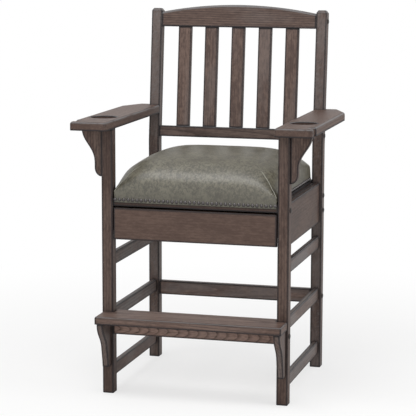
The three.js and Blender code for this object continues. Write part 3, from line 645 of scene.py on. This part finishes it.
def tube(rings, steps):
    """Faces of a tube through rings of points, closed at both ends."""
    faces = []
    for low in range(0, (rings - 1) * steps, steps):
        high = low + steps
        for step in range(steps):
            after = (step + 1) % steps
            faces.append((low + step, low + after, high + after, high + step))
    faces.append(tuple(reversed(range(steps))))
    faces.append(tuple(range((rings - 1) * steps, rings * steps)))
    return faces


def lathe(profile, steps, outward, across, centre):
    """Points and faces of a turned piece. profile holds (radius, height) along outward."""
    points = []
    for radius, height in profile:
        points += ring(centre + outward * height, across, outward.cross(across), radius, steps)
    return points, tube(len(profile), steps)


def gather(parts):
    """Joins several (points, faces) into one."""
    points, faces = [], []
    for some, theirs in parts:
        faces += [tuple(index + len(points) for index in face) for face in theirs]
        points += some
    return points, faces


# The leather seat, in metres from the middle of the chair.

SEAT_HALF = SEAT_HIGH.x
SEAT_FRONT, SEAT_REAR = SEAT_LOW.y, SEAT_HIGH.y
SEAT_MIDDLE, SEAT_REACH = (SEAT_FRONT + SEAT_REAR) / 2, (SEAT_REAR - SEAT_FRONT) / 2
# The leather's base lies a hair above the seat board. The upright edge on it is low at the
# front, and climbs to its height at the sides over a length.
LEATHER_BASE = BOARD_TOP + 0.0003
FRONT_BROW = LEATHER_BASE + 0.0117
SIDE_CLIMB, CLIMB_LENGTH = 0.038, 0.097
# Radius of the seat's corners, seen from above.
CORNER = 0.006
# How the leather falls from the middle to each edge: how flat the middle stays, and how
# gently the edge rolls over.
ROLLS = {"front": (2.0, 0.355), "side": (4.7, 0.80), "rear": (2.3, 0.21)}
# The top is a grid of squares, crowded towards its edges by this power.
GRID, CROWDING = 72, 1.5
ROW = GRID + 1
# The rings of points down the walls, as shares of their height, and in across the base, as
# shares of the way to its middle.
WALL_LEVELS = (0.75, 0.5, 0.25, 0.0)
BASE_INSETS = (0.02, 0.12, 0.5)
# The skirt's points on its way down, round its rolled lower edge and up behind, as shares of
# its thickness and of its height.
SKIRT_TURNS = (
    (0, 0.66), (0, 0.33), (0, 0.07), (0.16, 0.018), (0.5, 0), (0.8, 0), (1, 0.05), (1, 0.5), (1, 1)
)
# The leather is held up to the first height above its base and free from the second, and the
# hold of a point fades by up to this share in between.
HELD_TO, FREE_FROM, LET_GO = 0.010, 0.040, 0.9
CLOTH_FRAMES = 20
CLOTH = {
    "tension_stiffness": 20,
    "compression_stiffness": 12,
    "bending_stiffness": 3,
    "quality": 6,
}
SOFTEN_PASSES, SOFTEN_FACTOR = 6, 0.5
# A welt runs up this many squares of the grid. Its middle stands out of the leather by a
# share of its radius. Over the last third of its run it thins to its tip and sinks in.
SEAM_STEPS = 17
WELT_STEPS, WELT_LIFT, WELT_TAPER, WELT_TIP = 10, 0.25, 3, 0.35


def roll(edge, place):
    flatness, softness = ROLLS[edge]
    return (1 - min(1, place) ** flatness) ** softness


def leather_height(x, y):
    end = "front" if y < SEAT_MIDDLE else "rear"
    rise = roll("side", abs(x) / SEAT_HALF) * roll(end, abs(y - SEAT_MIDDLE) / SEAT_REACH)
    brow = FRONT_BROW + SIDE_CLIMB * min(1, (y - SEAT_FRONT) / CLIMB_LENGTH)
    return brow + (SEAT_HIGH.z - brow) * rise


def rounded_corner(x, y):
    """Draws a point in to the arc that rounds each corner of the seat."""
    over = abs(x) - SEAT_HALF + CORNER, abs(y - SEAT_MIDDLE) - SEAT_REACH + CORNER
    if min(over) <= 0:
        return x, y
    kept = 1 - max(over) / math.hypot(*over)
    return (
        x - math.copysign(over[0] * kept, x),
        y - math.copysign(over[1] * kept, y - SEAT_MIDDLE),
    )


def seat_crown():
    """The seat's top: a square grid, so that the mitred corners run along its diagonals."""
    shares = [2 * step / GRID - 1 for step in range(ROW)]
    shares = [math.copysign(1 - (1 - abs(one)) ** CROWDING, one) for one in shares]
    points = []
    for across in shares:
        for along in shares:
            x, y = rounded_corner(SEAT_HALF * across, SEAT_MIDDLE + SEAT_REACH * along)
            points.append((x, y, leather_height(x, y)))
    faces = [
        (i * ROW + j, (i + 1) * ROW + j, (i + 1) * ROW + j + 1, i * ROW + j + 1)
        for i in range(GRID)
        for j in range(GRID)
    ]
    return points, faces


def seat_walls(points, faces):
    """Adds the upright walls under the crown's rim. Returns their lowest ring of points."""
    rim = [i * ROW for i in range(GRID)] + [GRID * ROW + j for j in range(GRID)]
    rim += [i * ROW + GRID for i in range(GRID, 0, -1)] + list(range(GRID, 0, -1))
    above = rim
    for level in WALL_LEVELS:
        below = list(range(len(points), len(points) + len(rim)))
        for place in rim:
            x, y, z = points[place]
            points.append((x, y, LEATHER_BASE + (z - LEATHER_BASE) * level))
        for step in range(len(rim)):
            after = (step + 1) % len(rim)
            faces.append((above[step], below[step], below[after], above[after]))
        above = below
    return above


def seat_skirt(points, faces, walls, thick):
    """Adds the strip of leather that hangs over the front rail, from the front wall down
    and up behind. Returns its columns of points."""
    low, back = SEAT_LOW.z, SEAT_FRONT + thick
    drop = LEATHER_BASE - low
    columns = []
    for place in walls:
        x, y, _ = points[place]
        columns.append(list(range(len(points), len(points) + len(SKIRT_TURNS))))
        points += [(x, y + (back - y) * deep, low + drop * high) for deep, high in SKIRT_TURNS]
    for step in range(len(walls) - 1):
        near, far = ([walls[place], *columns[place]] for place in (step, step + 1))
        faces += zip(near, near[1:], far[1:], far)
    return columns


def seat_base(points, faces, walls, skirt):
    """Closes the seat underneath, from its walls and from the back of its skirt."""
    edges = list(zip(walls, walls[1:] + walls[:1]))
    edges[:GRID] = [(before[-1], after[-1]) for before, after in zip(skirt, skirt[1:])]
    for inset in BASE_INSETS:
        inside = list(range(len(points), len(points) + len(walls)))
        for place in walls:
            x, y, z = points[place]
            points.append((x * (1 - inset), y + (SEAT_MIDDLE - y) * inset, z))
        inner = list(zip(inside, inside[1:] + inside[:1]))
        faces += [(a, c, d, b) for (a, b), (c, d) in zip(edges, inner)]
        if inset == BASE_INSETS[0]:
            faces += [(walls[end], *skirt[end], inside[end]) for end in (0, GRID)]
        edges = inner
    points.append((0, SEAT_MIDDLE, LEATHER_BASE))
    faces += [(a, len(points) - 1, b) for a, b in edges]


def seat_form(thick):
    """Points and faces of the seat before it is stuffed."""
    points, faces = seat_crown()
    walls = seat_walls(points, faces)
    skirt = seat_skirt(points, faces, walls[:ROW], thick)
    seat_base(points, faces, walls, skirt)
    return points, faces


def stuffed(piece, settings):
    """Fills the seat: cloth under pressure, held at its base, with its movement capped."""
    mesh = piece.data
    rest = np.array([vertex.co[:] for vertex in mesh.vertices])
    normals = np.array([vertex.normal[:] for vertex in mesh.vertices])
    free = np.clip((rest[:, 2] - LEATHER_BASE - HELD_TO) / (FREE_FROM - HELD_TO), 0, 1)
    start = rest - normals * (settings.slack * free)[:, None]
    mesh.vertices.foreach_set("co", start.ravel())
    pins = piece.vertex_groups.new(name="held")
    for index, freed in enumerate(free):
        pins.add([index], float(1 - LET_GO * freed) if freed < 1 else 0.0, "REPLACE")
    cloth = piece.modifiers.new("stuffing", "CLOTH")
    cloth.settings.vertex_group_mass = "held"
    cloth.settings.use_pressure = True
    cloth.settings.uniform_pressure_force = settings.pressure
    cloth.settings.effector_weights.gravity = 0
    for name, value in CLOTH.items():
        setattr(cloth.settings, name, value)
    cloth.collision_settings.use_collision = False
    scene = bpy.context.scene
    for step in range(1, CLOTH_FRAMES + 1):
        scene.frame_set(step)
    evaluated = piece.evaluated_get(bpy.context.evaluated_depsgraph_get())
    moved = np.array([vertex.co[:] for vertex in evaluated.data.vertices])
    piece.modifiers.remove(cloth)
    scene.frame_set(1)
    travel = moved - start
    reach = np.linalg.norm(travel, axis=1)
    keep = np.minimum(1, settings.swell / np.maximum(reach, 1e-9))
    mesh.vertices.foreach_set("co", (start + travel * keep[:, None]).ravel())
    mesh.update()


def soften(piece, reach):
    """Rounds the shoulder where the leather turns down at the sides and the rear."""
    work = bmesh.new()
    work.from_mesh(piece.data)
    turned = [
        vertex
        for vertex in work.verts
        if min(SEAT_HALF - abs(vertex.co.x), SEAT_REAR - vertex.co.y) < reach
        and vertex.co.z > LEATHER_BASE + reach
        and vertex.co.y > SEAT_FRONT + 2 * reach
    ]
    axes = {"use_axis_x": True, "use_axis_y": True, "use_axis_z": True}
    for _ in range(SOFTEN_PASSES):
        bmesh.ops.smooth_vert(work, verts=turned, factor=SOFTEN_FACTOR, **axes)
    work.to_mesh(piece.data)
    work.free()


class CHAIR_OT_seat(bpy.types.Operator):
    """Makes the stuffed leather seat with its raised front seams"""

    bl_idname = "chair.seat"
    bl_label = "Leather seat"

    def execute(self, context):
        chair = context.scene.chair
        material = leather(chair.leather, "seat_leather")
        seat = new_piece("leather_seat", *seat_form(chair.seat.wall), material)
        even_normals(seat)
        stuffed(seat, chair.seat)
        soften(seat, chair.seat.shoulder)
        for side, corner, turn in (("left", 0, 1), ("right", GRID, -1)):
            line = [(corner + turn * step) * ROW + step for step in range(SEAM_STEPS + 1)]
            self.raise_welt(seat, side, line, chair)
        fine = seat.modifiers.new("finer", "SUBSURF")
        fine.levels = fine.render_levels = 1
        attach(seat, BODY)
        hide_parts("seat_cushion")
        return {"FINISHED"}

    def raise_welt(self, seat, side, line, chair):
        """Pulls the leather in along a mitred corner and lays a raised seam in the groove."""
        mesh = seat.data
        mesh.update()
        outward = [mesh.vertices[index].normal.copy() for index in line]
        for index, out in zip(line, outward):
            mesh.vertices[index].co -= chair.seat.tuck * out
        path = [mesh.vertices[index].co.copy() for index in line]
        points = []
        for place, (centre, out) in enumerate(zip(path, outward)):
            before, after = path[max(0, place - 1)], path[min(len(path) - 1, place + 1)]
            run = (after - before).normalized()
            out = (out - out.dot(run) * run).normalized()
            full = min(1, WELT_TAPER * (1 - place / (len(path) - 1)))
            thick = chair.seat.welt * (WELT_TIP + (1 - WELT_TIP) * full)
            middle = centre + out * (chair.seat.welt * (WELT_LIFT - (1 - full)))
            points += ring(middle, out, run.cross(out), thick, WELT_STEPS)
        name = side + "_seam_welt"
        # The welts' leather is lightened towards the seam tone: a painted highlight along the
        # seams.
        material = leather(chair.leather, name, chair.leather.seam_highlight)
        welt = new_piece(name, points, tube(len(path), WELT_STEPS), material)
        even_normals(welt)
        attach(welt, BODY)


# Nailheads and buttons, both turned. A nailhead's profile goes from its rim to its top, as
# shares of its radius and of its rise, just inside the head that the frame has.

NAIL_PROFILE = (
    (0.9, 0.0), (1.0, 0.06), (0.99, 0.16), (0.9, 0.44), (0.7, 0.74), (0.42, 0.93), (0.06, 1.0)
)
NAIL_STEPS, NAIL_INSIDE = 14, 0.985
# How far a nail strays along its row, and up or down, as nails set by hand do.
NAIL_DRIFT, NAIL_STRAY = 0.0004, 0.0003
# A button's head on its shank, in metres. A bevel is how far in, and how far up.
BUTTON_STEPS, BUTTON_HEIGHT, BUTTON_BEVEL = 24, 0.0037, 0.0006
SHANK_RADIUS, SHANK_BEVEL = 0.0030, (0.0001, 0.0004)
# A button's side and dome, as shares of its radius and as heights above its back.
BUTTON_PROFILE = (
    (1, 0.0005), (1, 0.0011), (0.93, 0.0020), (0.74, 0.0029), (0.42, 0.0035), (0.10, BUTTON_HEIGHT)
)


class CHAIR_OT_nails(bpy.types.Operator):
    """Sets the rows of domed nailheads along the seat's front and sides"""

    bl_idname = "chair.nails"
    bl_label = "Nailheads"

    def execute(self, context):
        settings = context.scene.chair.nails
        metal = nail_metal(settings)
        for name in ("front_nail_trim", "left_nail_trim", "right_nail_trim"):
            self.row(name, settings, metal)
        return {"FINISHED"}

    def row(self, name, settings, metal):
        chance = random.Random(name)
        low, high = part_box(name)
        if high.x - low.x > high.y - low.y:
            along, outward, span = ACROSS, -DEEP, (low.x, high.x)
            seat = Vector((0, high.y, (low.z + high.z) / 2))
        else:
            side = 1 if low.x > 0 else -1
            along, outward, span = DEEP, ACROSS * side, (low.y, high.y)
            seat = Vector((low.x if side > 0 else high.x, 0, (low.z + high.z) / 2))
        run = span[1] - span[0] - 2 * settings.radius
        count = round(run / settings.pitch)
        radius = settings.radius * NAIL_INSIDE
        profile = [(radius * wide, settings.rise * tall) for wide, tall in NAIL_PROFILE]
        parts = []
        for index in range(count + 1):
            place = span[0] + settings.radius + run * index / count
            drift = chance.uniform(-NAIL_DRIFT, NAIL_DRIFT) if 0 < index < count else 0
            stray = chance.uniform(-NAIL_STRAY, NAIL_STRAY)
            centre = seat + along * (place + drift) + UP * stray
            parts.append(lathe(profile, NAIL_STEPS, outward, along, centre))
        piece = new_piece(name.replace("_trim", "heads"), *gather(parts), metal)
        even_normals(piece)
        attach(piece, BODY)
        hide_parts(name)


class CHAIR_OT_buttons(bpy.types.Operator):
    """Turns the wooden buttons on the bolts that hold the cross rails"""

    bl_idname = "chair.buttons"
    bl_label = "Wooden buttons"

    def execute(self, context):
        material = button_wood(context.scene.chair.box)
        bolts = sorted(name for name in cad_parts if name.endswith("_bolt"))
        parts = []
        for name in bolts:
            low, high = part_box(name)
            side = 1 if low.x > 0 else -1
            centre = (low + high) / 2
            centre.x = low.x if side > 0 else high.x
            wide = (high.z - low.z) / 2
            shank = high.x - low.x - BUTTON_HEIGHT
            profile = [
                (SHANK_RADIUS - SHANK_BEVEL[0], 0.0),
                (SHANK_RADIUS, SHANK_BEVEL[1]),
                (SHANK_RADIUS, shank),
                (wide - BUTTON_BEVEL, shank),
                *((wide * part, shank + height) for part, height in BUTTON_PROFILE),
            ]
            parts.append(lathe(profile, BUTTON_STEPS, ACROSS * side, DEEP, centre))
        piece = new_piece("wooden_buttons", *gather(parts), material)
        even_normals(piece)
        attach(piece, BODY)
        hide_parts(*bolts)
        return {"FINISHED"}


class CHAIR_OT_boards(bpy.types.Operator):
    """Stains every oak board, each with a grain of its own"""

    bl_idname = "chair.boards"
    bl_label = "Oak boards"

    def execute(self, context):
        for name, piece in sorted(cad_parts.items()):
            kind = kind_of(name)
            if kind:
                dress(piece, oak(context.scene.chair.oak, name, BOARDS[kind]))
        return {"FINISHED"}


class CHAIR_OT_box(bpy.types.Operator):
    """Finishes the plain boards and the steel slides inside the seat"""

    bl_idname = "chair.box"
    bl_label = "Drawer box and slides"

    def execute(self, context):
        settings = context.scene.chair.box
        steel = slide_steel(settings)
        woods = {along: bare_wood(settings, "bare_wood_" + along, along) for along in "xy"}
        for name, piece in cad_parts.items():
            if "slide" in name:
                dress(piece, steel)
            elif name in ("drawer_back", "drawer_bottom"):
                dress(piece, woods["x"])
            elif name in ("drawer_left_side", "drawer_right_side"):
                dress(piece, woods["y"])
        return {"FINISHED"}


# The studio, in metres. Each soft box: where it stands, the point that it faces, and its
# width and height.

SOFT_BOXES = {
    "top": ((-0.4, -1.3, 3.5), (0, 0, 0.75), (2.8, 1.1)),
    "front": ((-0.9, -4.4, 1.5), (0, 0, 0.5), (3.0, 3.0)),
    "side": ((3.6, -0.6, 1.9), (0, 0, 0.6), (2.0, 2.0)),
}
# The floor is a disc of rings, each wider than the last by a factor. The camera sees it
# whitened, by this share in the middle and wholly from the second distance on.
FLOOR_STEPS, FLOOR_RING, FLOOR_GROWTH = 96, 0.25, 1.25
FLOOR_WHITE, FLOOR_FADE = 0.66, (0.7, 2.2)
# The camera that the photograph was solved to, with its angles in degrees: how far it turns
# left, looks down and leans.
CAMERA_PLACE = (1.51949, -5.69923, 1.54318)
CAMERA_YAW, CAMERA_PITCH, CAMERA_ROLL = 15.150, 9.090, -0.124
LENS, SENSOR = 152.44, 36
CLIP = (0.5, 80)


class CHAIR_OT_studio(bpy.types.Operator):
    """Sets up the pale floor, the white room, the soft boxes and the camera"""

    bl_idname = "chair.studio"
    bl_label = "Studio"

    def execute(self, context):
        settings = context.scene.chair.studio
        self.floor(settings)
        self.room(context, settings)
        for name, (place, target, size) in SOFT_BOXES.items():
            watts = getattr(settings, name + "_power")
            self.soft_box(context, name + "_light", place, target, size, watts)
        self.camera(context)
        context.scene.view_settings.view_transform = "Standard"
        return {"FINISHED"}

    def floor(self, settings):
        material, finish = new_finish("floor")
        sockets = {"Base Color": (*settings.floor, 1), "Roughness": 0.9}
        plain = finish.node("ShaderNodeBsdfPrincipled", {}, sockets)
        white = finish.node("ShaderNodeEmission", {}, {"Strength": 1.0})
        seen = finish.node("ShaderNodeLightPath", output="Is Camera Ray")
        away = finish.node("ShaderNodeVectorMath", {"operation": "LENGTH"}, {0: finish.place()}, 1)
        pale = FLOOR_WHITE + (1 - FLOOR_WHITE) * finish.step(away, *FLOOR_FADE)
        mixed = finish.node("ShaderNodeMixShader", {}, {0: seen * pale, 1: plain, 2: white})
        finish.node("ShaderNodeOutputMaterial", {}, {"Surface": mixed})
        points, faces = [(0, 0, 0)], []
        for number in range(settings.rings):
            radius = FLOOR_RING * FLOOR_GROWTH**number
            for step in range(FLOOR_STEPS):
                angle = 2 * math.pi * step / FLOOR_STEPS
                points.append((radius * math.cos(angle), radius * math.sin(angle), 0))
        for step in range(FLOOR_STEPS):
            after = (step + 1) % FLOOR_STEPS
            faces.append((0, 1 + step, 1 + after))
            for number in range(settings.rings - 1):
                low = 1 + number * FLOOR_STEPS
                high = low + FLOOR_STEPS
                faces.append((low + step, high + step, high + after, low + after))
        new_piece("floor", points, faces, material)

    def room(self, context, settings):
        """A room that lights the chair softly, and that mirrors and the camera see as white."""
        world = bpy.data.worlds.new("white_room")
        world.use_nodes = True
        context.scene.world = world
        finish = Finish(world.node_tree)
        rays = finish.node("ShaderNodeLightPath", output="Is Camera Ray")
        shown = rays.maths("MAXIMUM", rays, rays.also("Is Glossy Ray"))
        shown = shown.maths("MAXIMUM", shown, rays.also("Is Transmission Ray"))
        light, white = (
            finish.node("ShaderNodeBackground", {}, {"Color": (1, 1, 1, 1), "Strength": strength})
            for strength in (settings.ambient, 1.0)
        )
        mixed = finish.node("ShaderNodeMixShader", {}, {0: shown, 1: light, 2: white})
        finish.node("ShaderNodeOutputWorld", {}, {"Surface": mixed})

    def soft_box(self, context, name, place, target, size, watts):
        light = bpy.data.lights.new(name, "AREA")
        light.shape, light.energy = "RECTANGLE", watts
        light.size, light.size_y = size
        lamp = bpy.data.objects.new(name, light)
        lamp.location = place
        lamp.rotation_euler = (Vector(target) - Vector(place)).to_track_quat("-Z", "Y").to_euler()
        context.scene.collection.objects.link(lamp)

    def camera(self, context):
        lens = bpy.data.cameras.new("camera")
        lens.sensor_width, lens.lens = SENSOR, LENS
        lens.clip_start, lens.clip_end = CLIP
        camera = bpy.data.objects.new("camera", lens)
        yaw, pitch, roll = map(math.radians, (CAMERA_YAW, CAMERA_PITCH, CAMERA_ROLL))
        level = Vector((math.cos(yaw), math.sin(yaw), 0))
        ahead = Vector((-math.sin(yaw), math.cos(yaw), 0))
        look = ahead * math.cos(pitch) - UP * math.sin(pitch)
        down = look.cross(level)
        right = math.cos(roll) * level + math.sin(roll) * down
        up = math.sin(roll) * level - math.cos(roll) * down
        turn = Matrix((right, up, -look)).transposed().to_4x4()
        camera.matrix_world = Matrix.Translation(CAMERA_PLACE) @ turn
        context.scene.collection.objects.link(camera)
        context.scene.camera = camera


class CHAIR_PT_panel(bpy.types.Panel):
    """Lists the chair's pieces and their settings"""

    bl_label = "Spectator chair"
    bl_idname = "CHAIR_PT_panel"
    bl_space_type = "VIEW_3D"
    bl_region_type = "UI"
    bl_category = "Chair"

    def draw(self, context):
        for operator in OPERATORS:
            self.layout.operator(operator.bl_idname)
        for group in ChairSettings.__annotations__:
            box = self.layout.box()
            box.label(text=group.capitalize())
            settings = getattr(context.scene.chair, group)
            for name in settings.__annotations__:
                box.prop(settings, name)


OPERATORS = (
    CHAIR_OT_studio,
    CHAIR_OT_boards,
    CHAIR_OT_box,
    CHAIR_OT_buttons,
    CHAIR_OT_seat,
    CHAIR_OT_nails,
)
CLASSES = (
    OakSettings,
    LeatherSettings,
    SeatSettings,
    NailSettings,
    BoxSettings,
    StudioSettings,
    ChairSettings,
    *OPERATORS,
    CHAIR_PT_panel,
)


def register():
    for made in CLASSES:
        bpy.utils.register_class(made)
    bpy.types.Scene.chair = PointerProperty(type=ChairSettings)


def unregister():
    del bpy.types.Scene.chair
    for made in reversed(CLASSES):
        bpy.utils.unregister_class(made)


def main():
    register()
    bpy.ops.chair.studio()
    bpy.ops.chair.boards()
    bpy.ops.chair.box()
    bpy.ops.chair.buttons()
    bpy.ops.chair.seat()
    bpy.ops.chair.nails()


if __name__ == "__main__":
    main()
